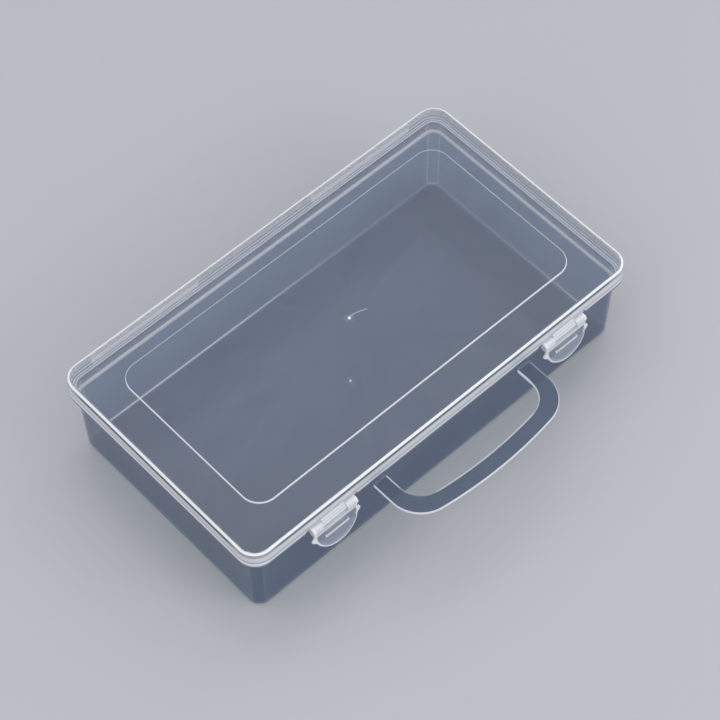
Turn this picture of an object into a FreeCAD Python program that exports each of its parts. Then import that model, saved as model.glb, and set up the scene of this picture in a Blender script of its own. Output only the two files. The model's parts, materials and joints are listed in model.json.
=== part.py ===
import FreeCAD, Part
import math
import os

os.makedirs("parts", exist_ok=True)
V = FreeCAD.Vector

# Sizes in millimetres. X runs along the box, the handle is at the front on -Y, Z is up.
# The table is at zero, and the middle of the tray's underside is the origin.

# Lid
LID_LENGTH = 240.0
LID_DEPTH = 136.2
LID_CORNER = 10.0
SKIRT_HEIGHT = 8.2
LID_PANEL = 1.3
LID_EDGE_ROUND = 1.8
SKIRT_WALL = 1.2
LID_GAP = 0.3
FOOT_BEVEL = 0.3

# Raised field on the lid
PAD_SIDE_MARGIN = 19.7
PAD_FRONT_MARGIN = 19.1
PAD_CORNER = 10.0
PAD_RISE = 0.4
PAD_BEVEL = 0.3

# Tray
TRAY_HEIGHT = 46.5
BASE_INSET = 4.9
WALL_DRAFT = 1.35
WALL_CORNER = 6.0
WALL = 1.2
FLOOR = 1.3
BASE_ROUND = 3.0
LEDGE_DROP = 5.5
LEDGE_STEP = 1.1
FLANGE = 2.0
FLANGE_INSET = 0.1
COLLAR_INSET = 2.1
COLLAR_RISE = 0.9
COLLAR_BEVEL = 0.3

# Marks where the plastic entered the moulds
GATE_DISH = 3.2
GATE_DISH_FLOOR = 1.6
GATE_DEPTH = 0.5
GATE_STUB = 0.8
GATE_STUB_RISE = 0.3

# Crease that joins the lid to the back of the tray, in two lengths
HINGE_END_MARGIN = 19.0
HINGE_LENGTH = 64.5
HINGE_REACH = 0.9
HINGE_FILM = 0.35
HINGE_LAND = 0.9
HINGE_FOOT = 0.4
HINGE_FOOT_RISE = 2.2
HINGE_GUSSET = 0.45
CREASE_GAP = 0.02

# Handle and its creases
HANDLE_WIDTH = 99.2
HANDLE_REACH = 34.2
HANDLE_THICK = 1.6
HANDLE_CORNER = 17.5
HANDLE_INNER_CORNER = 12.5
HANDLE_BOW = 230.0
HANDLE_BEVEL = 0.4
ARM_WIDTH = 8.1
GRIP_WIDTH = 8.7
HANDLE_FILM = 0.4
HANDLE_FILM_SINK = 0.2
HANDLE_CREASE_OUT = 1.1
HANDLE_LAND = 0.6
TIP_GAP = 0.03

# Latches and the bars they turn on
LATCH_SHARE = 0.3352
BAR_RADIUS = 1.1
BAR_FIT = 0.06
BAR_OUT = 0.9
KNUCKLE_RADIUS = 2.2
KNUCKLE_SPAN = 26.5
LUG_WIDTH = 14.0
LUG_GAP = 0.3
LUG_ROUND = 1.3
LUG_RISE = 2.0
MOUTH = 1.7
LATCH_TILT = 8.0
LATCH_PLATE = 1.3
LATCH_SET = 0.3
LATCH_HEAD = 2.0
LATCH_BEVEL = 0.35
NECK_DROP = 3.4
NECK_WAIST = 0.4
TAB_FLARE = 2.3
TAB_SHOULDER = 5.4
TAB_INSET = 0.55
TAB_DROP = 4.6
TAB_STEP = 2.8
TAB_CORNER = 0.8
TAB_INNER_CORNER = 0.8
LIP_INSET = 0.6
LIP_WIDTH = 1.3
LIP_SIDE = 0.4
LIP_SLOPE = 0.4
LIP_RISE = 0.5
SLOT_WIDTH = 13.3
SLOT_TOP = 5.0
SLOT_HEIGHT = 2.6
SLOT_ROUND = 1.0
NOTCH_GAP = 2.2
NOTCH_ROUND = 1.4
KNUCKLE_CLEARANCE = 0.5

# Catches on the front wall
CATCH_GAP = 0.5
CATCH_PLAY = 0.4
CATCH_TIP = 0.9
CATCH_SINK = 0.15
CATCH_RAMP = 3.5

# Values that follow from the sizes above
HALF_LENGTH = LID_LENGTH / 2
HALF_DEPTH = LID_DEPTH / 2
DRAFT = math.tan(math.radians(WALL_DRAFT))
LEDGE_HEIGHT = TRAY_HEIGHT - LEDGE_DROP
FLANGE_FOOT = TRAY_HEIGHT - FLANGE
SKIRT_FOOT = TRAY_HEIGHT + LID_GAP
LID_TOP = SKIRT_FOOT + SKIRT_HEIGHT
FRONT_FACE = -(HALF_DEPTH - FLANGE_INSET)
BACK_FACE = HALF_DEPTH - FLANGE_INSET
BAR_Y = -(HALF_DEPTH + BAR_OUT)
BAR_Z = TRAY_HEIGHT - KNUCKLE_RADIUS
EAR = KNUCKLE_SPAN / 2 + TAB_FLARE
TAB_RADIUS = KNUCKLE_SPAN / 2 - TAB_INSET
TAB_START = TAB_SHOULDER + TAB_STEP
TAB_HALF = math.sqrt(TAB_RADIUS ** 2 - (TAB_START - TAB_DROP) ** 2)
TILT_SIN = math.sin(math.radians(LATCH_TILT))
TILT_COS = math.cos(math.radians(LATCH_TILT))


def rounded_wire(half_x, half_y, radius, z):
    """Closed outline of a rectangle with round corners at height z."""
    edges = []
    corners = [(1, 1, 0), (-1, 1, 90), (-1, -1, 180), (1, -1, 270)]
    arcs = []
    for side_x, side_y, start in corners:
        centre = V(side_x * (half_x - radius), side_y * (half_y - radius), z)
        circle = Part.Circle(centre, V(0, 0, 1), radius)
        first = math.radians(start)
        arcs.append(Part.ArcOfCircle(circle, first, first + math.pi / 2).toShape())
    for index, arc in enumerate(arcs):
        following = arcs[(index + 1) % len(arcs)]
        edges.append(arc)
        edges.append(Part.makeLine(arc.Vertexes[-1].Point, following.Vertexes[0].Point))
    return Part.Wire(edges)


def ring_wire(inset, radius, z):
    """Outline that runs at an even distance inside the edge of the lid."""
    return rounded_wire(HALF_LENGTH - inset, HALF_DEPTH - inset, radius, z)


def slab(wire, height):
    return Part.Face(wire).extrude(V(0, 0, height))


def along_x(points, start, width):
    """Solid with one outline of (y, z) points, running along X."""
    corners = [V(start, y, z) for y, z in points]
    face = Part.Face(Part.makePolygon(corners + corners[:1]))
    return face.extrude(V(width, 0, 0))


def rod(start, width, y, z, radius):
    return Part.makeCylinder(radius, width, V(start, y, z), V(1, 0, 0))


def level_edges(shape, z):
    """Edges that lie flat at height z."""
    found = []
    for edge in shape.Edges:
        box = edge.BoundBox
        if abs(box.ZMin - z) < 1e-4 and abs(box.ZMax - z) < 1e-4:
            found.append(edge)
    return found


def wall_inset(z):
    """Distance of the drafted outer wall from the lid's edge at height z."""
    return BASE_INSET - z * DRAFT


def gate_dish(z, up):
    """Shallow dish around a gate mark, opening up or down at height z."""
    sign = 1 if up else -1
    rim = V(GATE_DISH, 0, z)
    low = V(GATE_DISH_FLOOR, 0, z - sign * GATE_DEPTH)
    points = [V(0, 0, z), rim, low, V(0, 0, z - sign * GATE_DEPTH), V(0, 0, z)]
    face = Part.Face(Part.makePolygon(points))
    return face.revolve(V(0, 0, 0), V(0, 0, 1), 360)


def gate_stub(z, up):
    """Stub left by the gate, standing in the dish and staying below its rim."""
    sign = 1 if up else -1
    root = LID_PANEL - GATE_DEPTH
    foot = z - sign * (GATE_DEPTH + root / 2)
    return Part.makeCylinder(GATE_STUB, GATE_STUB_RISE + root / 2, V(0, 0, foot), V(0, 0, sign))


def hinge_starts():
    outer = HALF_LENGTH - HINGE_END_MARGIN
    return [-outer, outer - HINGE_LENGTH]


def arm_starts():
    return [-HANDLE_WIDTH / 2, HANDLE_WIDTH / 2 - ARM_WIDTH]


def latch_centres():
    """Middle of each latch, a share of the way from the handle to the end of the lid."""
    offset = HANDLE_WIDTH / 2 + LATCH_SHARE * (HALF_LENGTH - HANDLE_WIDTH / 2)
    return [-offset, offset]


# Crease at the back, where the lid turns
CREASE_Y = HALF_DEPTH + HINGE_REACH
CREASE_Z = (TRAY_HEIGHT + SKIRT_FOOT) / 2

# Creases at the front, where the handle turns
HANDLE_CREASE_Y = -(HALF_DEPTH + HANDLE_CREASE_OUT)
HANDLE_CREASE_Z = FLANGE_FOOT + HANDLE_FILM / 2
HANDLE_TOP = HANDLE_CREASE_Z + HANDLE_FILM / 2 + HANDLE_FILM_SINK


def tray_hinge_lip(start):
    """Half of the back crease that stays on the flange."""
    top = CREASE_Z - CREASE_GAP
    tip = CREASE_Y - CREASE_GAP
    points = [
        (BACK_FACE - HINGE_LAND, TRAY_HEIGHT - FLANGE / 2),
        (BACK_FACE - HINGE_LAND, top),
        (tip, top),
        (tip, top - HINGE_FILM),
        (BACK_FACE + HINGE_GUSSET, top - HINGE_FILM),
        (BACK_FACE, top - HINGE_FILM - HINGE_GUSSET),
        (BACK_FACE, TRAY_HEIGHT - FLANGE / 2),
    ]
    return along_x(points, start, HINGE_LENGTH)


def lid_hinge_lip(start):
    """Half of the back crease that turns with the lid, with a thicker foot inside the skirt."""
    foot = CREASE_Z + CREASE_GAP
    tip = CREASE_Y - CREASE_GAP
    inner = HALF_DEPTH - SKIRT_WALL
    points = [
        (inner + SKIRT_WALL / 4, foot),
        (tip, foot),
        (tip, foot + HINGE_FILM),
        (HALF_DEPTH + HINGE_GUSSET, foot + HINGE_FILM),
        (HALF_DEPTH, foot + HINGE_FILM + HINGE_GUSSET),
        (HALF_DEPTH - SKIRT_WALL / 2, foot + HINGE_FOOT_RISE),
        (inner + SKIRT_WALL / 4, foot + HINGE_FOOT_RISE),
    ]
    lip = along_x(points, start, HINGE_LENGTH)
    thick = [
        (inner - HINGE_FOOT, SKIRT_FOOT),
        (inner + SKIRT_WALL / 2, SKIRT_FOOT),
        (inner + SKIRT_WALL / 2, SKIRT_FOOT + HINGE_FOOT_RISE + HINGE_FOOT),
        (inner, SKIRT_FOOT + HINGE_FOOT_RISE + HINGE_FOOT),
        (inner - HINGE_FOOT, SKIRT_FOOT + HINGE_FOOT_RISE),
    ]
    return lip.fuse(along_x(thick, start, HINGE_LENGTH))


def tray_handle_lip(start):
    """Half of a handle crease that stays on the flange, thinned to an edge at the crease."""
    half = HANDLE_FILM / 2
    root = FRONT_FACE + FLANGE / 2
    points = [
        (root, FLANGE_FOOT),
        (HANDLE_CREASE_Y + half, FLANGE_FOOT),
        (HANDLE_CREASE_Y + TIP_GAP, HANDLE_CREASE_Z),
        (HANDLE_CREASE_Y + half, HANDLE_CREASE_Z + half),
        (HANDLE_CREASE_Y + HANDLE_LAND, HANDLE_CREASE_Z + half),
        (HANDLE_CREASE_Y + HANDLE_LAND, HANDLE_TOP),
        (root, HANDLE_TOP),
    ]
    return along_x(points, start, ARM_WIDTH)


def handle_lip(start):
    """Half of a handle crease that turns with the handle."""
    half = HANDLE_FILM / 2
    land = HANDLE_CREASE_Y - HANDLE_LAND
    points = [
        (land - half, HANDLE_CREASE_Z - half),
        (HANDLE_CREASE_Y - half, HANDLE_CREASE_Z - half),
        (HANDLE_CREASE_Y - TIP_GAP, HANDLE_CREASE_Z),
        (HANDLE_CREASE_Y - half, HANDLE_CREASE_Z + half),
        (land - half, HANDLE_CREASE_Z + half),
    ]
    return along_x(points, start, ARM_WIDTH)


def catch(centre):
    """Wedge on the front wall that reaches through the slot of a latch."""
    width = SLOT_WIDTH - 2 * CATCH_GAP
    slot_foot = SLOT_TOP + SLOT_HEIGHT
    outside = LATCH_SET + LATCH_PLATE
    low = BAR_Z - slot_foot * TILT_COS + outside * TILT_SIN + CATCH_PLAY
    middle = SLOT_TOP + SLOT_HEIGHT / 2
    tip = BAR_Y - middle * TILT_SIN - outside * TILT_COS + CATCH_SINK
    upper_wall = -(HALF_DEPTH - wall_inset(LEDGE_HEIGHT) + LEDGE_STEP)
    root = -(HALF_DEPTH - BASE_INSET - WALL / 2)
    points = [
        (tip, low),
        (tip, low + CATCH_TIP),
        (upper_wall, low + CATCH_TIP + CATCH_RAMP),
        (root, low + CATCH_TIP + CATCH_RAMP),
        (root, low),
    ]
    return along_x(points, centre - width / 2, width)


def latch_notch(centre):
    """Cut in the flange that lets a latch reach the wall below it."""
    half = KNUCKLE_SPAN / 2 + NOTCH_GAP
    back = BAR_Y + KNUCKLE_RADIUS + KNUCKLE_CLEARANCE
    front = FRONT_FACE - FLANGE
    middle = (front + back) / 2
    wire = rounded_wire(half, (back - front) / 2, NOTCH_ROUND, 0)
    wire.translate(V(centre, middle, FLANGE_FOOT - WALL))
    return slab(wire, FLANGE + WALL)


def make_tray():
    upper = wall_inset(LEDGE_HEIGHT) - LEDGE_STEP
    upper_corner = WALL_CORNER + LEDGE_STEP
    step_top = LEDGE_HEIGHT - WALL
    step_foot = step_top - LEDGE_STEP
    foot_top = BASE_ROUND + FLOOR
    skin = Part.makeLoft([
        ring_wire(wall_inset(foot_top), WALL_CORNER, foot_top),
        ring_wire(wall_inset(step_foot), WALL_CORNER, step_foot),
        ring_wire(upper, upper_corner, step_top),
        ring_wire(upper, upper_corner, TRAY_HEIGHT),
    ], True, True)
    foot = slab(ring_wire(wall_inset(foot_top), WALL_CORNER, 0), foot_top)
    foot = foot.makeFillet(BASE_ROUND, level_edges(foot, 0))

    flange = slab(ring_wire(FLANGE_INSET, LID_CORNER - FLANGE_INSET, FLANGE_FOOT), FLANGE)
    for centre in latch_centres():
        flange = flange.cut(latch_notch(centre))
    collar_corner = upper_corner + upper - COLLAR_INSET
    collar = slab(ring_wire(COLLAR_INSET, collar_corner, TRAY_HEIGHT), COLLAR_RISE)
    collar = collar.makeChamfer(COLLAR_BEVEL, level_edges(collar, TRAY_HEIGHT + COLLAR_RISE))
    collar_root = slab(ring_wire(COLLAR_INSET, collar_corner, FLANGE_FOOT), FLANGE)

    tray = skin.fuse([foot, flange, collar_root, collar])
    tray = tray.fuse([catch(centre) for centre in latch_centres()])

    inner_corner = WALL_CORNER - WALL
    hollow = Part.makeLoft([
        ring_wire(wall_inset(foot_top) + WALL, inner_corner, foot_top),
        ring_wire(wall_inset(LEDGE_HEIGHT) + WALL, inner_corner, LEDGE_HEIGHT),
    ], True, True)
    bowl = slab(ring_wire(wall_inset(foot_top) + WALL, inner_corner, FLOOR), BASE_ROUND)
    bowl = bowl.makeFillet(BASE_ROUND - WALL, level_edges(bowl, FLOOR))
    hollow = hollow.fuse(bowl)
    rim_rise = TRAY_HEIGHT + COLLAR_RISE - LEDGE_HEIGHT
    rim_hollow = slab(ring_wire(upper + WALL, upper_corner - WALL, LEDGE_HEIGHT), rim_rise + WALL)
    tray = tray.cut(hollow).cut(rim_hollow)

    lips = [tray_hinge_lip(start) for start in hinge_starts()]
    lips += [tray_handle_lip(start) for start in arm_starts()]
    tray = tray.fuse(lips)
    tray = tray.cut(gate_dish(0, False)).fuse(gate_stub(0, False))
    return tray.removeSplitter()


def latch_lug(centre):
    """Lug under the front skirt, sloping out to the bar that carries a latch."""
    inner = -(HALF_DEPTH - SKIRT_WALL)
    brow = SKIRT_FOOT + LUG_RISE
    face_y = -HALF_DEPTH + SKIRT_WALL / 4
    lean = math.atan2(brow - BAR_Z, face_y - BAR_Y)
    reach = math.hypot(face_y - BAR_Y, brow - BAR_Z)
    touch = lean + math.acos(LUG_ROUND / reach)
    front = V(0, BAR_Y + LUG_ROUND * math.cos(touch), BAR_Z + LUG_ROUND * math.sin(touch))
    below = V(0, BAR_Y, BAR_Z - LUG_ROUND)
    back = V(0, BAR_Y + LUG_ROUND, BAR_Z)
    top = V(0, face_y, brow)
    corner = V(0, inner, brow)
    foot = V(0, inner, SKIRT_FOOT)
    edges = [
        Part.makeLine(top, front),
        Part.Arc(front, below, back).toShape(),
        Part.makeLine(back, foot),
        Part.makeLine(foot, corner),
        Part.makeLine(corner, top),
    ]
    lug = Part.Face(Part.Wire(edges)).extrude(V(LUG_WIDTH, 0, 0))
    lug.translate(V(centre - LUG_WIDTH / 2, 0, 0))
    return lug


def make_lid():
    height = LID_TOP - SKIRT_FOOT
    lid = slab(ring_wire(0, LID_CORNER, SKIRT_FOOT), height)
    lid = lid.makeFillet(LID_EDGE_ROUND, level_edges(lid, LID_TOP))
    lid = lid.makeChamfer(FOOT_BEVEL, level_edges(lid, SKIRT_FOOT))
    inner_corner = LID_CORNER - SKIRT_WALL
    inner_top = LID_TOP - LID_PANEL
    hollow = slab(ring_wire(SKIRT_WALL, inner_corner, SKIRT_FOOT), inner_top - SKIRT_FOOT)
    hollow = hollow.makeChamfer(LID_EDGE_ROUND - SKIRT_WALL / 2, level_edges(hollow, inner_top))
    lid = lid.cut(hollow)

    # The field stands up on top and is hollow below, so the panel has one thickness.
    pad_x = HALF_LENGTH - PAD_SIDE_MARGIN
    pad_y = HALF_DEPTH - PAD_FRONT_MARGIN
    pad_top = LID_TOP + PAD_RISE
    pad_wire = rounded_wire(pad_x, pad_y, PAD_CORNER, inner_top)
    pad = slab(pad_wire, LID_PANEL + PAD_RISE)
    pad = pad.makeChamfer(PAD_BEVEL, level_edges(pad, pad_top))
    recess = slab(pad_wire, PAD_RISE)
    recess = recess.makeChamfer(PAD_BEVEL, level_edges(recess, inner_top + PAD_RISE))
    lid = lid.fuse(pad).cut(recess)
    lid = lid.cut(gate_dish(pad_top, True)).fuse(gate_stub(pad_top, True))

    fittings = [lid_hinge_lip(start) for start in hinge_starts()]
    for centre in latch_centres():
        fittings.append(latch_lug(centre))
        fittings.append(rod(centre - KNUCKLE_SPAN / 2, KNUCKLE_SPAN, BAR_Y, BAR_Z, BAR_RADIUS))
    return lid.fuse(fittings).removeSplitter()


def handle_outline(half_width, reach, bow, corner):
    """Solid bounded by two straight sides, a bowed front and two round corners."""
    front = -(HALF_DEPTH + reach)
    back = HANDLE_CREASE_Y - HANDLE_LAND
    side = front + bow - math.sqrt(bow ** 2 - half_width ** 2)
    foot = HANDLE_TOP - HANDLE_THICK
    left = V(-half_width, side, foot)
    right = V(half_width, side, foot)
    edges = [
        Part.makeLine(V(-half_width, back, foot), left),
        Part.Arc(left, V(0, front, foot), right).toShape(),
        Part.makeLine(right, V(half_width, back, foot)),
        Part.makeLine(V(half_width, back, foot), V(-half_width, back, foot)),
    ]
    body = Part.Face(Part.Wire(edges)).extrude(V(0, 0, HANDLE_THICK))
    upright = []
    for edge in body.Edges:
        box = edge.BoundBox
        if box.ZLength > HANDLE_THICK / 2 and abs(box.YMin - side) < 1e-4:
            upright.append(edge)
    return body.makeFillet(corner, upright)


def make_handle():
    half = HANDLE_WIDTH / 2
    outer = handle_outline(half, HANDLE_REACH, HANDLE_BOW, HANDLE_CORNER)
    inner_bow = HANDLE_BOW - GRIP_WIDTH
    inner_reach = HANDLE_REACH - GRIP_WIDTH
    inner = handle_outline(half - ARM_WIDTH, inner_reach, inner_bow, HANDLE_INNER_CORNER)
    strap = outer.cut(inner)
    foot = HANDLE_TOP - HANDLE_THICK
    root = HANDLE_CREASE_Y - HANDLE_LAND
    soft = []
    for edge in level_edges(strap, HANDLE_TOP) + level_edges(strap, foot):
        if edge.BoundBox.YMin < root - 1e-4:
            soft.append(edge)
    strap = strap.makeChamfer(HANDLE_BEVEL, soft)
    return strap.fuse([handle_lip(start) for start in arm_starts()]).removeSplitter()


def latch_outline():
    """Outline of a latch seen square on: two knuckles, a waist, two ears and a half-round finger tab."""
    knuckle = KNUCKLE_SPAN / 2
    inner = LUG_WIDTH / 2 + LUG_GAP
    ear = V(EAR, 0, -TAB_SHOULDER)
    right = [
        Part.makeLine(V(inner, 0, -LATCH_HEAD), V(inner, 0, 0)),
        Part.makeLine(V(inner, 0, 0), V(knuckle, 0, 0)),
        Part.makeLine(V(knuckle, 0, 0), V(knuckle, 0, -LATCH_HEAD)),
        Part.Arc(V(knuckle, 0, -LATCH_HEAD), V(knuckle - NECK_WAIST, 0, -NECK_DROP), ear).toShape(),
        Part.makeLine(ear, V(TAB_HALF, 0, -TAB_START)),
    ]
    mirror = []
    for edge in right:
        mirror.append(edge.mirror(V(0, 0, 0), V(1, 0, 0)))
    curve = Part.Arc(
        V(TAB_HALF, 0, -TAB_START),
        V(0, 0, -TAB_DROP - TAB_RADIUS),
        V(-TAB_HALF, 0, -TAB_START),
    ).toShape()
    head = Part.makeLine(V(-inner, 0, -LATCH_HEAD), V(inner, 0, -LATCH_HEAD))
    return Part.Wire(Part.__sortEdges__(right + mirror + [curve, head]))


def upright_edges(solid, x, z):
    """Edges through the plate of a latch at a place and its mirror image."""
    found = []
    for edge in solid.Edges:
        box = edge.BoundBox
        across = box.YLength > LATCH_PLATE / 2 and box.XLength < 1e-4
        if across and abs(abs(box.XMin) - x) < 1e-4 and abs(box.ZMin + z) < 1e-4:
            found.append(edge)
    return found


def finger_lip():
    """Raised lip round a finger tab, widest at the bottom, with a sloping inside."""
    outer = TAB_RADIUS - LIP_INSET
    inner = outer - LIP_SIDE
    face = V(0, -LATCH_SET - LATCH_PLATE, -TAB_DROP)
    out = V(0, -1, 0)
    disc = Part.makeCylinder(outer, LIP_RISE, face, out)
    raised = face + V(0, 0, LIP_WIDTH - LIP_SIDE)
    hollow = Part.makeCone(inner - LIP_SLOPE, inner, LIP_RISE, raised, out)
    corner = V(-outer, face.y - LIP_RISE, -TAB_START)
    above = Part.makeBox(outer * 2, LIP_RISE, outer * 2, corner)
    return disc.cut(hollow).cut(above)


def make_latch(centre):
    outline = latch_outline()
    outline.translate(V(0, -LATCH_SET, 0))
    plate = Part.Face(outline).extrude(V(0, -LATCH_PLATE, 0))
    plate = plate.makeFillet(TAB_CORNER, upright_edges(plate, EAR, TAB_SHOULDER))
    plate = plate.makeFillet(TAB_INNER_CORNER, upright_edges(plate, TAB_HALF, TAB_START))
    outer_face = -LATCH_SET - LATCH_PLATE
    soft = []
    for edge in plate.Edges:
        box = edge.BoundBox
        on_face = abs(box.YMin - outer_face) < 1e-4 and abs(box.YMax - outer_face) < 1e-4
        if on_face and box.ZMin < -LATCH_HEAD - 1e-4:
            soft.append(edge)
    plate = plate.makeChamfer(LATCH_BEVEL, soft)

    slot_wire = rounded_wire(SLOT_WIDTH / 2, SLOT_HEIGHT / 2, SLOT_ROUND, 0)
    slot = slab(slot_wire, LATCH_PLATE * 3)
    slot.rotate(V(0, 0, 0), V(1, 0, 0), 90)
    slot.translate(V(0, LATCH_PLATE, -SLOT_TOP - SLOT_HEIGHT / 2))
    plate = plate.cut(slot)

    inner = LUG_WIDTH / 2 + LUG_GAP
    length = KNUCKLE_SPAN / 2 - inner
    drums = [
        rod(-KNUCKLE_SPAN / 2, length, 0, 0, KNUCKLE_RADIUS),
        rod(inner, length, 0, 0, KNUCKLE_RADIUS),
    ]
    latch = plate.fuse(drums + [finger_lip()])
    bore = rod(-KNUCKLE_SPAN, KNUCKLE_SPAN * 2, 0, 0, BAR_RADIUS + BAR_FIT)
    corner = V(-KNUCKLE_SPAN, 0, -MOUTH / 2)
    mouth = Part.makeBox(KNUCKLE_SPAN * 2, KNUCKLE_RADIUS * 2, MOUTH, corner)
    latch = latch.cut(bore).cut(mouth).removeSplitter()
    latch.rotate(V(0, 0, 0), V(1, 0, 0), -LATCH_TILT)
    latch.translate(V(centre, BAR_Y, BAR_Z))
    return latch


make_tray().exportStep("parts/tray.step")
make_lid().exportStep("parts/lid.step")
make_handle().exportStep("parts/handle.step")
for side, latch_centre in zip(("left", "right"), latch_centres()):
    make_latch(latch_centre).exportStep("parts/latch_" + side + ".step")
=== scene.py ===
import json
import math

import bmesh
import bpy
from mathutils import Matrix, Vector


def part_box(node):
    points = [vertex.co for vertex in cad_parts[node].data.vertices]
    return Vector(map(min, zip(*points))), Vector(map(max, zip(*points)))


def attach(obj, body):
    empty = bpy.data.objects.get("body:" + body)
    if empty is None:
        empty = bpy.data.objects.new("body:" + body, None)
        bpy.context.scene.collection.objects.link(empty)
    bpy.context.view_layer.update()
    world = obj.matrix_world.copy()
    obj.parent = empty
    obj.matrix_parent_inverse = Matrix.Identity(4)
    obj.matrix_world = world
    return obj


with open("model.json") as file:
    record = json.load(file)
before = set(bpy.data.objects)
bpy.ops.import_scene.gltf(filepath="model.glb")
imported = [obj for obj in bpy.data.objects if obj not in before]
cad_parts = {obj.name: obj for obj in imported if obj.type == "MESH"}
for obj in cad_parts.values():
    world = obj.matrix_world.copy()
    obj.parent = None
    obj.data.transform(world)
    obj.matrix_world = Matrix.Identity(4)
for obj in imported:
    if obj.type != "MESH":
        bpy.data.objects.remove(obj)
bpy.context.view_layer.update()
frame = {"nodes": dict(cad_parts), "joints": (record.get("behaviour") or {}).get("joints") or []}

lid_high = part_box("lid")[1]
tray_low, tray_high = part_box("tray")
handle_low, handle_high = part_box("handle")
joints = {joint["name"]: Vector(joint["pos_m"]) for joint in frame["joints"]}
MM = 0.001
ORIGIN = (0.0, 0.0, 0.0)
FLAT = (1.0, 1.0, 0.0)
ABOVE_ALL = 1.0

# Camera of the photo
SENSOR = 36.0
LENS = 127.24
AZIMUTH = math.radians(-42.018)
ELEVATION = math.radians(56.135)
ROLL = math.radians(-0.822)
DISTANCE = 1.23382
AIM_RIGHT = 0.00456
AIM_UP = 0.01108

# Floor and background
FLOOR_DROP = 0.3 * MM
FLOOR_REACH = 4.0
FLOOR_PARTS = 4
FLOOR_COLOUR = (0.50, 0.51, 0.53)
FLOOR_PALER = 1.02
FLOOR_CLOUDS = 3.0
FLOOR_CLOUD_RANGE = (0.2, 0.8)
FLOOR_GRAIN = 40.0
FLOOR_GRAIN_ROUGH = 0.06
FLOOR_ROUGH = 0.22
SKY_TOP = (0.78, 0.80, 0.84)
SKY_EDGE = (0.40, 0.41, 0.43)
BACKGROUND = (0.46, 0.47, 0.49)

# Lamps: place and size of each panel in metres, and its power in watts
LAMPS = (
    ("overhead", (-0.2, 0.35, 1.6), (1.3, 1.3), 4.0),
    ("left_side", (-1.3, -0.2, 0.9), (0.5, 1.2), 3.0),
    ("right_side", (1.3, 0.3, 0.8), (0.5, 1.2), 2.0),
    ("front", (0.5, -1.4, 0.9), (1.2, 0.5), 8.0),
)

# Plastic: tints, how much lamp light passes, how clear and how rough it is
IOR = 1.49
LID_TINT = (0.90, 0.92, 0.96)
BODY_TINT = (0.30, 0.39, 0.54)
HANDLE_TINT = (0.19, 0.235, 0.33)
SHADE_TINT = (0.38, 0.43, 0.52)
# The next tint is painted shade, for the dark line just inside the lid's edge
DARK_SHADE_TINT = (0.08, 0.10, 0.15)
# The next tint is the milky white of thick edges, and it also stands in for painted highlights along
# edges and lines
EDGE_TINT = (0.97, 0.97, 0.98)
LID_LIGHT = 0.94
BODY_LIGHT = 0.64
LID_CLEAR = 0.985
TRAY_CLEAR = 0.87
HANDLE_CLEAR = 0.78
LATCH_CLEAR = 0.76
MILKY_CLEAR = 0.10
FROST_SHARE = 0.85
LID_ROUGH = 0.005
BODY_ROUGH = 0.12
LATCH_ROUGH = 0.08
WHITE_ROUGH = 0.10

# Flow marks, clouds, scuffs and grain of the plastic
FLOW_TURN = 0.9
FLOW_REACH = 6.0
FLOW_SCALE = 9.0
FLOW_DETAIL = 4.0
FLOW_WARP = 0.4
FLOW_SHARE = 0.6
CLOUD_SCALE = 22.0
CLOUD_SHARE = 0.4
CLOUD_RANGE = (0.25, 0.75)
CLOUD_PALER = 0.02
CLOUD_HAZE = -0.03
SCUFF_ANGLE = math.radians(27)
SCUFF_STRETCH = (60.0, 1400.0, 60.0)
SCUFF_DETAIL = 2.0
SCUFF_WARP = 0.3
SCUFF_RANGE = (0.66, 0.80)
SCUFF_ROUGH = 0.03
GRAIN_SCALE = 1600.0
GRAIN_DETAIL = 2.0
GRAIN_ROUGH = 0.02
GRAIN_STRENGTH = 0.03
GRAIN_HEIGHT = 0.03 * MM
PLAIN_DETAIL = 3.0
WAVE_RANGE = (-1.0, 1.0)
STREAK_PITCH = 1.15 * MM

# In the masks below, a pair is where a mask begins and where it is full, and two more values are its
# strengths at these places. Apart from places and directions, three values are the middle of a band,
# its reach and its soft border. GATE_DEPTH and TICK are a reach and a soft border. Shares are strengths.

# Outlines and heights of the box
HINGE_BEHIND = 0.9 * MM
LID_HALF = Vector((lid_high.x, joints["lid_hinge"].y - HINGE_BEHIND, 0.0))
LID_CORNER = 10 * MM
PAD_INSET = Vector((19.7 * MM, 19.1 * MM, 0.0))
PAD_HALF = LID_HALF - PAD_INSET
PAD_CORNER = 10 * MM
PAD_RISE = 0.4 * MM
PANEL_TOP = lid_high.z - PAD_RISE
LID_DEPTH = 8.2 * MM
LID_GAP = 0.3 * MM
FLANGE_TOP = PANEL_TOP - LID_DEPTH - LID_GAP
COLLAR_TOP = tray_high.z
LEDGE_DROP = 6.4 * MM
LEDGE = COLLAR_TOP - LEDGE_DROP
FLOOR_TOP = 1.3 * MM

# Gate mark and its thread, whose steps go right, back and above the lid in millimetres
GATE_DOT = (0.95 * MM, 0.65 * MM)
GATE_RING = (2.0 * MM, 0.2 * MM, 0.3 * MM)
GATE_RING_SHARE = 0.22
GATE_DEPTH = (0.9 * MM, 0.2 * MM)
THREAD_RADIUS = 0.10 * MM
THREAD_ROUND = 3
THREAD_ORDER = 3
THREAD_STEPS = (
    (0.0, 0.0, 0.20),
    (1.2, 0.1, 0.35),
    (2.4, -0.1, 0.55),
    (3.5, -0.1, 0.50),
    (4.6, -0.5, 0.40),
    (6.4, -1.0, 0.35),
    (8.6, -1.75, 0.25),
    (9.2, -2.2, 0.20),
)

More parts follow.
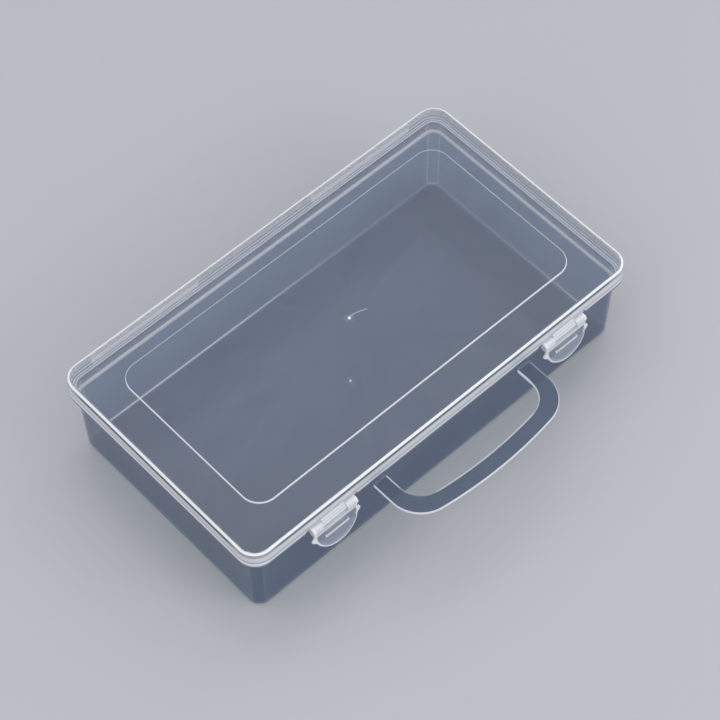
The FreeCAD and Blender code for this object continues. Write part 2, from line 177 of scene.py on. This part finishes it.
# Lid, mostly in drops below its panel and distances from its outline
LID_EDGE = (-1.7 * MM, -1.3 * MM)
LID_EDGE_DROP = (0.8 * MM, 0.5 * MM)
# Painted shade: a dark line just inside the edge, below the panel, fading out at the corners
UNDER_EDGE = (-2.4 * MM, -1.8 * MM)
UNDER_DROP = (1.5 * MM, 0.6 * MM, 0.3 * MM)
UNDER_CORNER = (10 * MM, 18 * MM, 0.35, 1.0)
SKIRT_TOP = (2.0 * MM, 2.4 * MM)
SKIRT_STEP = (5.4 * MM, 6.0 * MM)
BAND_SHARES = (0.76, 0.20)
TOP_LINE = (2.7 * MM, 0.25 * MM, 0.2 * MM)
TOP_LINE_SHARE = 0.75
LID_BACK = (LID_HALF.y - 2.6 * MM, LID_HALF.y - 2.0 * MM)
HINGE_INNER = 36.5 * MM
HINGE_OUTER = 101.0 * MM
HINGE_ZONE = ((HINGE_INNER + HINGE_OUTER) / 2, (HINGE_OUTER - HINGE_INNER) / 2, 0.2 * MM)
HINGE_SHARES = (0.88, 0.80)
TICK = (0.40 * MM, 0.15 * MM)
PAD_LINE = (0.0, 0.14 * MM, 0.14 * MM)
# Painted highlight on the line of the raised field, brighter on the side toward the lamps
LIT_SIDE = (-0.5, -0.85, 0.0)
PAD_LIT = (-0.15, 0.25, 0.50, 0.95)
LUG_FRONT = (-LID_HALF.y + 0.1 * MM, -LID_HALF.y - 0.1 * MM)
LUG_SHARES = (0.45, 0.85)
FOOT_DROP = (6.8 * MM, 7.0 * MM)
FOOT_SHARE = 0.97
THREAD_RISE = (lid_high.z, lid_high.z + 0.05 * MM)
THREAD_SHARE = 0.6

# Tray, with distances from the outline of the lid
RIM = (COLLAR_TOP, 0.35 * MM, 0.2 * MM)
COLLAR_OUTSIDE = (-2.9 * MM, -2.7 * MM)
COLLAR_INSIDE = (-3.3 * MM, -3.5 * MM)
COLLAR_INSIDE_SHARE = 0.8
LEDGE_BAND = (LEDGE - 0.2 * MM, 0.50 * MM, 0.25 * MM)
FLANGE_BAND = (FLANGE_TOP - 0.4 * MM, 0.4 * MM, 0.2 * MM)
FLANGE_EDGE = (-1.5 * MM, -0.5 * MM)
FLANGE_SHARE = 0.85
# Painted shade on the wall between the ledge and the flange
UPPER_WALL = ((LEDGE + FLANGE_TOP) / 2, (FLANGE_TOP - LEDGE) / 2 - 0.6 * MM, 0.3 * MM)
UPPER_SHARE = 0.6
# Painted highlights at the inner bend, the outer bottom edge and down the corners
FOOT_END = (6.0 * MM, 5.0 * MM)
FAR_CORNER = (LID_HALF.x, LID_HALF.y, 0.0)
BEND_START = (0.45, 0.60)
BEND_END = (0.95, 0.80)
BEND_INSIDE = (-0.1, 0.1)
BEND_REACH = (60 * MM, 160 * MM, 0.07, 0.85)
SOLE_START = (-0.14, -0.30)
SOLE_END = (-0.62, -0.48)
SOLE_SHARE = 0.80
CORNER_TURN = (0.35, 0.10, 0.15)
CORNER_SIDES = (-1.0 * MM, 1.0 * MM, 0.32, 0.12)
CATCH_FRONT = (-LID_HALF.y + 1.8 * MM, -LID_HALF.y + 1.5 * MM)
CATCH_TOP = (LEDGE, LEDGE - 1.0 * MM)
CATCH_SHARE = 0.35

# Handle, whose grip is an arc around a place far behind it
HANDLE_BOW = 230.0 * MM
BOW_MIDDLE = (0.0, handle_low.y + HANDLE_BOW, 0.0)
ARM_WIDTH = 8.1 * MM
GRIP_WIDTH = 8.7 * MM
GAP_CORNER = 12.5 * MM
GAP_SIDE = handle_high.x - ARM_WIDTH - GAP_CORNER
GAP_FRONT = HANDLE_BOW - GRIP_WIDTH - GAP_CORNER
GAP_LINE = (0.75 * MM, 0.55 * MM)
GAP_SHARE = 0.8
# Painted shade across the crease where the arms fold
FILM = (joints["handle_fold"].y, 0.6 * MM, 0.6 * MM)
UPRIGHT = (0.985, 0.60)

# Latches, with heights as the drop below the pivot bar
LATCH_PLACE = joints["latch_right_swing"]
LATCH_TILT = math.radians(8.0)
LATCH_FRONT = (0.0, -math.cos(LATCH_TILT), math.sin(LATCH_TILT))
LATCH_TURN = (0.985, 0.80)
HEAD_EDGE_SHARE = 0.2
HEAD_END = (3.7 * MM, 3.1 * MM)
HEAD_SHARES = (0.55, 0.80)
BODY_START = (3.1 * MM, 3.7 * MM)
BODY_SHARE = 0.22
LIP_MIDDLE = 3.7 * MM
LIP_RADIUS = 12.05 * MM
LIP_EDGE = (LIP_RADIUS - 0.3 * MM, LIP_RADIUS)
LIP_START = (5.0 * MM, 6.0 * MM)
LIP_SHARE = 0.95
LIP_SLOPE = (LIP_RADIUS - 0.7 * MM, 0.45 * MM, 0.1 * MM)
LIP_SLOPE_START = (6.0 * MM, 8.0 * MM)
EAR_SIDE = (11.4 * MM, 12.0 * MM)
EAR_END = (9.0 * MM, 8.4 * MM)
EAR_SHARE = 0.9
SLOT_HALF = Vector((6.65 * MM, 1.3 * MM, 0.0))
SLOT_DROP = 6.3 * MM
SLOT_LINE = (0.65 * MM, 0.40 * MM)
SLOT_LOWER = (SLOT_DROP - 0.3 * MM, SLOT_DROP + 0.3 * MM)
TAB_START = (SLOT_DROP + 1.6 * MM, SLOT_DROP + 2.4 * MM)
TAB_FRONT = (0.90, 0.97)
RIDGE_PITCH = 0.85 * MM
RIDGE_TOPS = (0.0, 0.9)
RIDGE_SHARE = 0.50
RIDGE_RELIEF = 8.0


class Nodes:
    """Short names for making the nodes of one tree."""

    def __init__(self, tree):
        self.tree = tree
        self.tree.nodes.clear()

    def add(self, kind):
        return self.tree.nodes.new(kind)

    def join(self, source, socket):
        """Links an output to a socket, or sets the socket to a plain value."""
        if hasattr(source, "is_output"):
            self.tree.links.new(source, socket)
        else:
            socket.default_value = source

    def math(self, operation, *values, clamp=False):
        node = self.add("ShaderNodeMath")
        node.operation = operation
        node.use_clamp = clamp
        for value, socket in zip(values, node.inputs):
            self.join(value, socket)
        return node.outputs[0]

    def vector(self, operation, *values):
        node = self.add("ShaderNodeVectorMath")
        node.operation = operation
        for value, socket in zip(values, node.inputs):
            self.join(value, socket)
        result = "Value" if operation in ("LENGTH", "DISTANCE", "DOT_PRODUCT") else "Vector"
        return node.outputs[result]

    def split(self, vector):
        node = self.add("ShaderNodeSeparateXYZ")
        self.join(vector, node.inputs[0])
        return node.outputs

    def combine(self, x, y):
        node = self.add("ShaderNodeCombineXYZ")
        self.join(x, node.inputs["X"])
        self.join(y, node.inputs["Y"])
        return node.outputs[0]

    def flattened(self, vector):
        """The vector without its height."""
        return self.vector("MULTIPLY", vector, FLAT)

    def mix(self, share, first, second):
        """Colour that goes from the first to the second."""
        node = self.add("ShaderNodeMix")
        node.data_type = "RGBA"
        self.join(share, node.inputs["Factor"])
        sockets = [socket for socket in node.inputs if socket.type == "RGBA"]
        for value, socket in zip((first, second), sockets):
            self.join(value if hasattr(value, "is_output") else (*value, 1.0), socket)
        return [socket for socket in node.outputs if socket.type == "RGBA"][0]

    def choose(self, share, first, second):
        """Shader that goes from the first to the second."""
        node = self.add("ShaderNodeMixShader")
        for source, socket in zip((share, first, second), node.inputs):
            self.join(source, socket)
        return node.outputs[0]

    def fade(self, value, start, end, low=0.0, high=1.0):
        """Goes smoothly from low at start to high at end."""
        node = self.add("ShaderNodeMapRange")
        node.interpolation_type = "SMOOTHSTEP"
        names = ("Value", "From Min", "From Max", "To Min", "To Max")
        for name, source in zip(names, (value, start, end, low, high)):
            self.join(source, node.inputs[name])
        return node.outputs["Result"]

    def near(self, value, middle, reach, soft):
        """One within reach of a middle value, fading to zero over a soft border."""
        away = self.math("ABSOLUTE", self.math("SUBTRACT", value, middle))
        return self.fade(away, reach + soft, reach)

    def waves(self, value, pitch):
        """Sine waves of one pitch along a value."""
        return self.math("SINE", self.math("MULTIPLY", value, 2 * math.pi / pitch))

    def most(self, *values):
        """The largest of the values."""
        result = values[0]
        for value in values[1:]:
            result = self.math("MAXIMUM", result, value)
        return result

    def share(self, *values):
        """The values multiplied."""
        result = values[0]
        for value in values[1:]:
            result = self.math("MULTIPLY", result, value)
        return result

    def rounded(self, beyond, corner):
        """Distance outside a shape with round corners, from how far a place lies beyond their middles."""
        outside = self.vector("LENGTH", self.vector("MAXIMUM", beyond, ORIGIN))
        parts = self.split(beyond)
        inside = self.math("MINIMUM", self.math("MAXIMUM", parts["X"], parts["Y"]), 0.0)
        return self.math("SUBTRACT", self.math("ADD", outside, inside), corner)


class Graph(Nodes):
    """The nodes of one material, around a shader that is still to be filled in."""

    def __init__(self, name):
        self.material = bpy.data.materials.new(name)
        self.material.use_nodes = True
        super().__init__(self.material.node_tree)
        self.output = self.add("ShaderNodeOutputMaterial")
        self.shader = self.add("ShaderNodeBsdfPrincipled")
        self.join(self.shader.outputs["BSDF"], self.output.inputs["Surface"])
        coords = self.add("ShaderNodeTexCoord")
        self.place = coords.outputs["Object"]
        self.normal = coords.outputs["Normal"]

    def noise(self, scale, detail=PLAIN_DETAIL, vector=None, distortion=0.0):
        node = self.add("ShaderNodeTexNoise")
        node.inputs["Scale"].default_value = scale
        node.inputs["Detail"].default_value = detail
        node.inputs["Distortion"].default_value = distortion
        self.join(vector or self.place, node.inputs["Vector"])
        return node.outputs["Fac"]

    def outline(self, half, corner):
        """Distance outside a rectangle with round corners around the origin, below zero inside it.

        The middles of the corners lie above all places on the box, so heights don't count."""
        middles = (half.x - corner, half.y - corner, ABOVE_ALL)
        spread = self.vector("ABSOLUTE", self.place)
        return self.rounded(self.vector("SUBTRACT", spread, middles), corner)

    def bump(self, height, strength, distance):
        node = self.add("ShaderNodeBump")
        node.inputs["Strength"].default_value = strength
        node.inputs["Distance"].default_value = distance
        self.join(height, node.inputs["Height"])
        self.join(node.outputs["Normal"], self.shader.inputs["Normal"])

    def let_lamps_through(self, passed):
        """Thin plastic takes only a part of the light of the lamps."""
        path = self.add("ShaderNodeLightPath")
        clear = self.add("ShaderNodeBsdfTransparent")
        clear.inputs["Color"].default_value = (passed, passed, passed, 1.0)
        shadow = path.outputs["Is Shadow Ray"]
        chosen = self.choose(shadow, self.shader.outputs["BSDF"], clear.outputs["BSDF"])
        self.join(chosen, self.output.inputs["Surface"])

    def finish(self, colour, roughness):
        self.join(colour, self.shader.inputs["Base Color"])
        self.join(roughness, self.shader.inputs["Roughness"])
        self.shader.inputs["IOR"].default_value = IOR
        return self.material


def flow_marks(graph):
    """Faint streaks that run out from the gate, as the plastic filled the mould."""
    parts = graph.split(graph.place)
    angle = graph.math("ARCTAN2", parts["Y"], parts["X"])
    reach = graph.vector("LENGTH", graph.place)
    polar = graph.combine(
        graph.math("MULTIPLY", angle, FLOW_TURN),
        graph.math("MULTIPLY", reach, FLOW_REACH),
    )
    return graph.noise(FLOW_SCALE, FLOW_DETAIL, polar, FLOW_WARP)


def scuffs(graph):
    """Fine marks of handling, all in one direction."""
    stretch = graph.add("ShaderNodeMapping")
    stretch.inputs["Rotation"].default_value = (0.0, 0.0, SCUFF_ANGLE)
    stretch.inputs["Scale"].default_value = SCUFF_STRETCH
    graph.join(graph.place, stretch.inputs["Vector"])
    marks = graph.noise(1.0, SCUFF_DETAIL, stretch.outputs[0], SCUFF_WARP)
    return graph.fade(marks, *SCUFF_RANGE)


def plastic(graph, tint, passed, clear, rough, white, shade=None, dark_shade=None, frost=None, relief=None):
    """See-through plastic with flow marks, scuffs and grain.

    White, shade and deep say where it takes these tints; some white lines are painted highlights, and
    deep and some shade are painted shade. White places and frost hide what is behind."""
    clouds = graph.math("MULTIPLY", graph.noise(CLOUD_SCALE), CLOUD_SHARE)
    cloudy = graph.math("MULTIPLY_ADD", flow_marks(graph), FLOW_SHARE, clouds)
    paler = [value + CLOUD_PALER for value in tint]
    colour = graph.mix(graph.fade(cloudy, *CLOUD_RANGE), tint, paler)
    if shade is not None:
        colour = graph.mix(shade, colour, SHADE_TINT)
    if dark_shade is not None:
        colour = graph.mix(dark_shade, colour, DARK_SHADE_TINT)
    colour = graph.mix(white, colour, EDGE_TINT)
    grain = graph.noise(GRAIN_SCALE, GRAIN_DETAIL)
    roughness = graph.math("MULTIPLY_ADD", grain, GRAIN_ROUGH, rough)
    roughness = graph.math("MULTIPLY_ADD", scuffs(graph), SCUFF_ROUGH, roughness)
    roughness = graph.math("MULTIPLY_ADD", white, WHITE_ROUGH, roughness, clamp=True)
    haze = graph.math("MULTIPLY_ADD", cloudy, CLOUD_HAZE, clear)
    dull = white if frost is None else graph.most(white, frost)
    clearness = graph.fade(dull, 0.0, 1.0, haze, MILKY_CLEAR)
    graph.join(clearness, graph.shader.inputs["Transmission Weight"])
    height = grain if relief is None else graph.math("ADD", grain, relief)
    graph.bump(height, GRAIN_STRENGTH, GRAIN_HEIGHT)
    graph.let_lamps_through(passed)
    return graph.finish(colour, roughness)


def gate_mark(graph, height):
    """Dot and faint ring that the gate left in the middle, at one height."""
    flat = graph.vector("LENGTH", graph.flattened(graph.place))
    dot = graph.fade(flat, *GATE_DOT)
    ring = graph.share(graph.near(flat, *GATE_RING), GATE_RING_SHARE)
    level = graph.near(graph.split(graph.place)["Z"], height, *GATE_DEPTH)
    return graph.share(graph.most(dot, ring), level)


def lid_material():
    """Clear panel with the bright line of its raised field as a painted highlight, milky edge and skirt
    with painted highlights, a painted dark line inside the edge, hinge and lugs.
    """
    graph = Graph("clear_lid")
    parts = graph.split(graph.place)
    distance = graph.outline(LID_HALF, LID_CORNER)
    drop = graph.math("SUBTRACT", PANEL_TOP, parts["Z"])
    along = graph.math("ABSOLUTE", parts["X"])
    edge = graph.share(graph.fade(distance, *LID_EDGE), graph.fade(drop, *LID_EDGE_DROP))
    beyond = graph.vector("SUBTRACT", graph.vector("ABSOLUTE", graph.place), tuple(LID_HALF))
    inside = graph.vector("MINIMUM", beyond, ORIGIN)
    from_corner = graph.vector("LENGTH", graph.flattened(inside))
    # Painted shade: a dark line just inside the edge, below the panel, fading out at the corners
    under_edge_shade = graph.share(
        graph.fade(distance, *UNDER_EDGE),
        graph.near(drop, *UNDER_DROP),
        graph.fade(from_corner, *UNDER_CORNER),
    )
    skirt = graph.fade(drop, *SKIRT_TOP)
    band = graph.share(skirt, graph.fade(drop, *SKIRT_STEP, *BAND_SHARES))
    top_line = graph.share(graph.near(drop, *TOP_LINE), TOP_LINE_SHARE)
    back = graph.fade(parts["Y"], *LID_BACK)
    zone = graph.near(along, *HINGE_ZONE)
    hinge = graph.share(back, zone, skirt, graph.fade(drop, *SKIRT_STEP, *HINGE_SHARES))
    ends = graph.most(graph.near(along, HINGE_INNER, *TICK), graph.near(along, HINGE_OUTER, *TICK))
    ticks = graph.share(back, ends, skirt)
    # Painted highlight: the line around the raised field is brighter where it faces the lamps
    facing = graph.vector("DOT_PRODUCT", graph.normal, LIT_SIDE)
    pad_edge = graph.near(graph.outline(PAD_HALF, PAD_CORNER), *PAD_LINE)
    line = graph.share(pad_edge, graph.fade(facing, *PAD_LIT))
    proud = graph.fade(parts["Y"], *LUG_FRONT)
    streaks = graph.waves(parts["Z"], STREAK_PITCH)
    lug = graph.share(proud, graph.fade(streaks, *WAVE_RANGE, *LUG_SHARES))
    behind_lugs = graph.math("SUBTRACT", 1.0, proud)
    foot = graph.share(graph.fade(drop, *FOOT_DROP), behind_lugs, FOOT_SHARE)
    thread = graph.share(graph.fade(parts["Z"], *THREAD_RISE), THREAD_SHARE)
    gate = gate_mark(graph, lid_high.z)
    # The edge, the band, the top line and the foot are partly milky plastic, partly painted highlight
    white = graph.most(edge, band, top_line, foot, hinge, ticks, line, lug, thread, gate)
    shade = graph.most(skirt, proud)
    frost = graph.share(shade, FROST_SHARE)
    return plastic(graph, LID_TINT, LID_LIGHT, LID_CLEAR, LID_ROUGH, white, shade, under_edge_shade, frost)


def tray_material():
    """Tinted walls with bright lines at the rim, the ledge, the flange, the corners and the foot, partly
    milky plastic and partly painted highlight, and a band of painted shade between the ledge and the
    flange.
    """
    graph = Graph("clear_tray")
    parts = graph.split(graph.place)
    slope = graph.split(graph.normal)
    height = parts["Z"]
    distance = graph.outline(LID_HALF, LID_CORNER)
    # The lines at the rim, the ledge and the flange are partly milky plastic, partly painted highlight
    rim = graph.near(height, *RIM)
    outer_edge = graph.fade(distance, *COLLAR_OUTSIDE)
    inner_edge = graph.share(graph.fade(distance, *COLLAR_INSIDE), COLLAR_INSIDE_SHARE)
    collar = graph.share(rim, graph.most(outer_edge, inner_edge))
    ledge = graph.near(height, *LEDGE_BAND)
    flange_edge = graph.fade(distance, *FLANGE_EDGE)
    flange = graph.share(graph.near(height, *FLANGE_BAND), flange_edge, FLANGE_SHARE)
    low = graph.fade(height, *FOOT_END)
    turned = graph.math("ABSOLUTE", slope["Z"])
    # Painted highlight along the inner bend of the floor, fading out towards the far corner
    bend_highlight = graph.share(
        graph.fade(turned, *BEND_START),
        graph.fade(turned, *BEND_END),
        low,
        graph.fade(slope["Z"], *BEND_INSIDE),
        graph.fade(graph.vector("DISTANCE", graph.place, FAR_CORNER), *BEND_REACH),
    )
    # Painted highlight along the outer bottom edge
    sole_highlight = graph.share(
        graph.fade(slope["Z"], *SOLE_START),
        graph.fade(slope["Z"], *SOLE_END),
        low,
        SOLE_SHARE,
    )
    lengthways = graph.math("ABSOLUTE", slope["X"])
    crossways = graph.math("ABSOLUTE", slope["Y"])
    # Zero on straight walls, one in the middle of a corner
    turn = graph.math("MULTIPLY", graph.share(lengthways, crossways), 2.0)
    outward = graph.vector("DOT_PRODUCT", graph.normal, graph.flattened(graph.place))
    # Painted highlights down both sides of each rounded corner, stronger inside
    corner = graph.share(graph.near(turn, *CORNER_TURN), graph.fade(outward, *CORNER_SIDES))
    below_ledge = graph.fade(height, *CATCH_TOP)
    catch = graph.share(graph.fade(parts["Y"], *CATCH_FRONT), below_ledge, CATCH_SHARE)
    gate = gate_mark(graph, FLOOR_TOP)
    white = graph.most(collar, ledge, flange, bend_highlight, sole_highlight, corner, catch, gate)
    # Painted shade: a darker band on the wall between the ledge and the flange
    upper_wall_shade = graph.share(graph.near(height, *UPPER_WALL), UPPER_SHARE)
    shade = graph.most(upper_wall_shade, rim)
    frost = graph.share(rim, FROST_SHARE)
    return plastic(graph, BODY_TINT, BODY_LIGHT, TRAY_CLEAR, BODY_ROUGH, white, shade, frost=frost)


def handle_material():
    """Dark strap whose edges and the line around its gap are milky and painted highlight, with painted
    shade across the crease.
    """
    graph = Graph("frosted_handle")
    parts = graph.split(graph.place)
    # Painted shade across the crease where the arms fold
    crease_shade = graph.near(parts["Y"], *FILM)
    from_middle = graph.vector("DISTANCE", graph.flattened(graph.place), BOW_MIDDLE)
    beyond = graph.combine(
        graph.math("SUBTRACT", graph.math("ABSOLUTE", parts["X"]), GAP_SIDE),
        graph.math("SUBTRACT", from_middle, GAP_FRONT),
    )
    gap = graph.share(graph.fade(graph.rounded(beyond, GAP_CORNER), *GAP_LINE), GAP_SHARE)
    level = graph.math("ABSOLUTE", graph.split(graph.normal)["Z"])
    # The edges and the line around the gap are partly milky plastic, partly painted highlight
    edges = graph.most(graph.fade(level, *UPRIGHT), gap)
    white = graph.share(edges, graph.math("SUBTRACT", 1.0, crease_shade))
    return plastic(graph, HANDLE_TINT, BODY_LIGHT, HANDLE_CLEAR, BODY_ROUGH, white, crease_shade)


def latch_material():
    """Milky head, an outline that is partly milky and partly painted highlight, and a clear finger tab
    with fine ridges.

    Places are taken from the middle of the pivot bar."""
    graph = Graph("frosted_latch")
    parts = graph.split(graph.place)
    beside = graph.math("SUBTRACT", graph.math("ABSOLUTE", parts["X"]), LATCH_PLACE.x)
    aside = graph.math("ABSOLUTE", beside)
    below = graph.math("SUBTRACT", LATCH_PLACE.z, parts["Z"])
    drop = graph.math("DIVIDE", below, math.cos(LATCH_TILT))
    across = graph.vector("DOT_PRODUCT", graph.normal, LATCH_FRONT)
    top = graph.fade(drop, *HEAD_END)
    streaks = graph.waves(drop, STREAK_PITCH)
    head = graph.share(top, graph.fade(streaks, *WAVE_RANGE, *HEAD_SHARES))
    body = graph.share(graph.fade(drop, *BODY_START), BODY_SHARE)
    from_middle = graph.combine(aside, graph.math("SUBTRACT", drop, LIP_MIDDLE))
    round_off = graph.vector("LENGTH", from_middle)
    lip = graph.share(graph.fade(round_off, *LIP_EDGE), graph.fade(drop, *LIP_START), LIP_SHARE)
    slope = graph.share(graph.near(round_off, *LIP_SLOPE), graph.fade(drop, *LIP_SLOPE_START))
    turned = graph.fade(graph.math("ABSOLUTE", across), *LATCH_TURN)
    edge = graph.share(turned, graph.fade(graph.most(top, slope), 0.0, 1.0, 1.0, HEAD_EDGE_SHARE))
    ear = graph.share(graph.fade(aside, *EAR_SIDE), graph.fade(drop, *EAR_END), EAR_SHARE)
    slot_side = graph.math("SUBTRACT", aside, SLOT_HALF.x)
    from_slot = graph.math("ABSOLUTE", graph.math("SUBTRACT", drop, SLOT_DROP))
    slot_end = graph.math("SUBTRACT", from_slot, SLOT_HALF.y)
    slot_line = graph.fade(graph.math("MAXIMUM", slot_side, slot_end), *SLOT_LINE)
    slot = graph.share(slot_line, graph.fade(drop, *SLOT_LOWER))
    ridges = graph.waves(parts["X"], RIDGE_PITCH)
    tab = graph.share(graph.fade(drop, *TAB_START), graph.fade(across, *TAB_FRONT))
    stripe = graph.share(graph.fade(ridges, *RIDGE_TOPS), tab, RIDGE_SHARE)
    # The outline at the edges, the lip, the ear and the slot is partly milky plastic, partly painted
    # highlight
    white = graph.most(edge, head, lip, ear, slot, stripe, body)
    frost = graph.share(top, FROST_SHARE)
    relief = graph.share(ridges, tab, RIDGE_RELIEF)
    return plastic(graph, BODY_TINT, BODY_LIGHT, LATCH_CLEAR, LATCH_ROUGH, white, top,
                   frost=frost, relief=relief)


def floor_material():
    graph = Graph("floor")
    clouds = graph.fade(graph.noise(FLOOR_CLOUDS), *FLOOR_CLOUD_RANGE)
    paler = [value * FLOOR_PALER for value in FLOOR_COLOUR]
    colour = graph.mix(clouds, FLOOR_COLOUR, paler)
    roughness = graph.math("MULTIPLY_ADD", graph.noise(FLOOR_GRAIN), FLOOR_GRAIN_ROUGH, FLOOR_ROUGH)
    return graph.finish(colour, roughness)


def new_object(name, data):
    made = bpy.data.objects.new(name, data)
    bpy.context.scene.collection.objects.link(made)
    return made


def paint(material, *nodes):
    for node in nodes:
        shown = frame["nodes"][node].data
        shown.materials.clear()
        shown.materials.append(material)


def dress():
    paint(tray_material(), "tray")
    paint(lid_material(), "lid")
    paint(handle_material(), "handle")
    paint(latch_material(), "latch_left", "latch_right")


def gate_thread():
    """Hair of plastic that the gate left on the lid when it was cut."""
    data = bpy.data.curves.new("gate_thread", "CURVE")
    data.dimensions = "3D"
    data.bevel_depth = THREAD_RADIUS
    data.bevel_resolution = THREAD_ROUND
    data.use_fill_caps = True
    spline = data.splines.new("NURBS")
    spline.points.add(len(THREAD_STEPS) - 1)
    for point, (right, back, above) in zip(spline.points, THREAD_STEPS):
        point.co = (right * MM, back * MM, lid_high.z + above * MM, 1.0)
    spline.order_u = THREAD_ORDER
    spline.use_endpoint_u = True
    thread = new_object("gate_thread", data)
    data.materials.append(frame["nodes"]["lid"].data.materials[0])
    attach(thread, "lid")


def floor():
    mesh = bpy.data.meshes.new("floor")
    made = bmesh.new()
    bmesh.ops.create_grid(made, x_segments=FLOOR_PARTS, y_segments=FLOOR_PARTS, size=FLOOR_REACH)
    made.to_mesh(mesh)
    made.free()
    plane = new_object("floor", mesh)
    plane.location.z = tray_low.z - FLOOR_DROP
    mesh.materials.append(floor_material())


def lamp(name, place, size, power):
    """Soft panel aimed at the origin, not seen in reflections or through the plastic."""
    data = bpy.data.lights.new(name, "AREA")
    data.shape = "RECTANGLE"
    data.size, data.size_y = size
    data.energy = power
    made = new_object(name, data)
    made.location = place
    made.rotation_euler = (-Vector(place)).to_track_quat("-Z", "Y").to_euler()
    made.visible_transmission = False
    made.visible_glossy = False


def sky():
    """Soft light from above, and a plain background for the camera, reflections and clear plastic."""
    world = bpy.data.worlds.new("studio")
    bpy.context.scene.world = world
    world.use_nodes = True
    nodes = Nodes(world.node_tree)
    output = nodes.add("ShaderNodeOutputWorld")
    coords = nodes.add("ShaderNodeTexCoord")
    ramp = nodes.add("ShaderNodeValToRGB")
    ramp.color_ramp.elements[0].color = (*SKY_EDGE, 1.0)
    ramp.color_ramp.elements[1].color = (*SKY_TOP, 1.0)
    nodes.join(nodes.split(coords.outputs["Generated"])["Z"], ramp.inputs["Fac"])
    soft = nodes.add("ShaderNodeBackground")
    nodes.join(ramp.outputs["Color"], soft.inputs["Color"])
    plain = nodes.add("ShaderNodeBackground")
    nodes.join((*BACKGROUND, 1.0), plain.inputs["Color"])
    rays = nodes.add("ShaderNodeLightPath").outputs
    seen = nodes.most(rays["Is Camera Ray"], rays["Is Transmission Ray"], rays["Is Glossy Ray"])
    chosen = nodes.choose(seen, soft.outputs[0], plain.outputs[0])
    nodes.join(chosen, output.inputs["Surface"])


def light():
    for name, place, size, power in LAMPS:
        lamp(name, place, size, power)
    sky()


def camera():
    right = Vector((math.cos(AZIMUTH), math.sin(AZIMUTH), 0.0))
    flat = math.cos(ELEVATION)
    back = Vector((math.sin(AZIMUTH) * flat, -math.cos(AZIMUTH) * flat, math.sin(ELEVATION)))
    up = back.cross(right)
    turned_right = right * math.cos(ROLL) + up * math.sin(ROLL)
    turned_up = up * math.cos(ROLL) - right * math.sin(ROLL)
    data = bpy.data.cameras.new("camera")
    data.sensor_width = SENSOR
    data.lens = LENS
    made = new_object("camera", data)
    place = turned_right * AIM_RIGHT + turned_up * AIM_UP + back * DISTANCE
    turned = Matrix((turned_right, turned_up, back)).transposed()
    made.matrix_world = Matrix.Translation(place) @ turned.to_4x4()
    bpy.context.scene.camera = made


camera()
dress()
gate_thread()
floor()
light()
bpy.context.scene.view_settings.view_transform = "Standard"
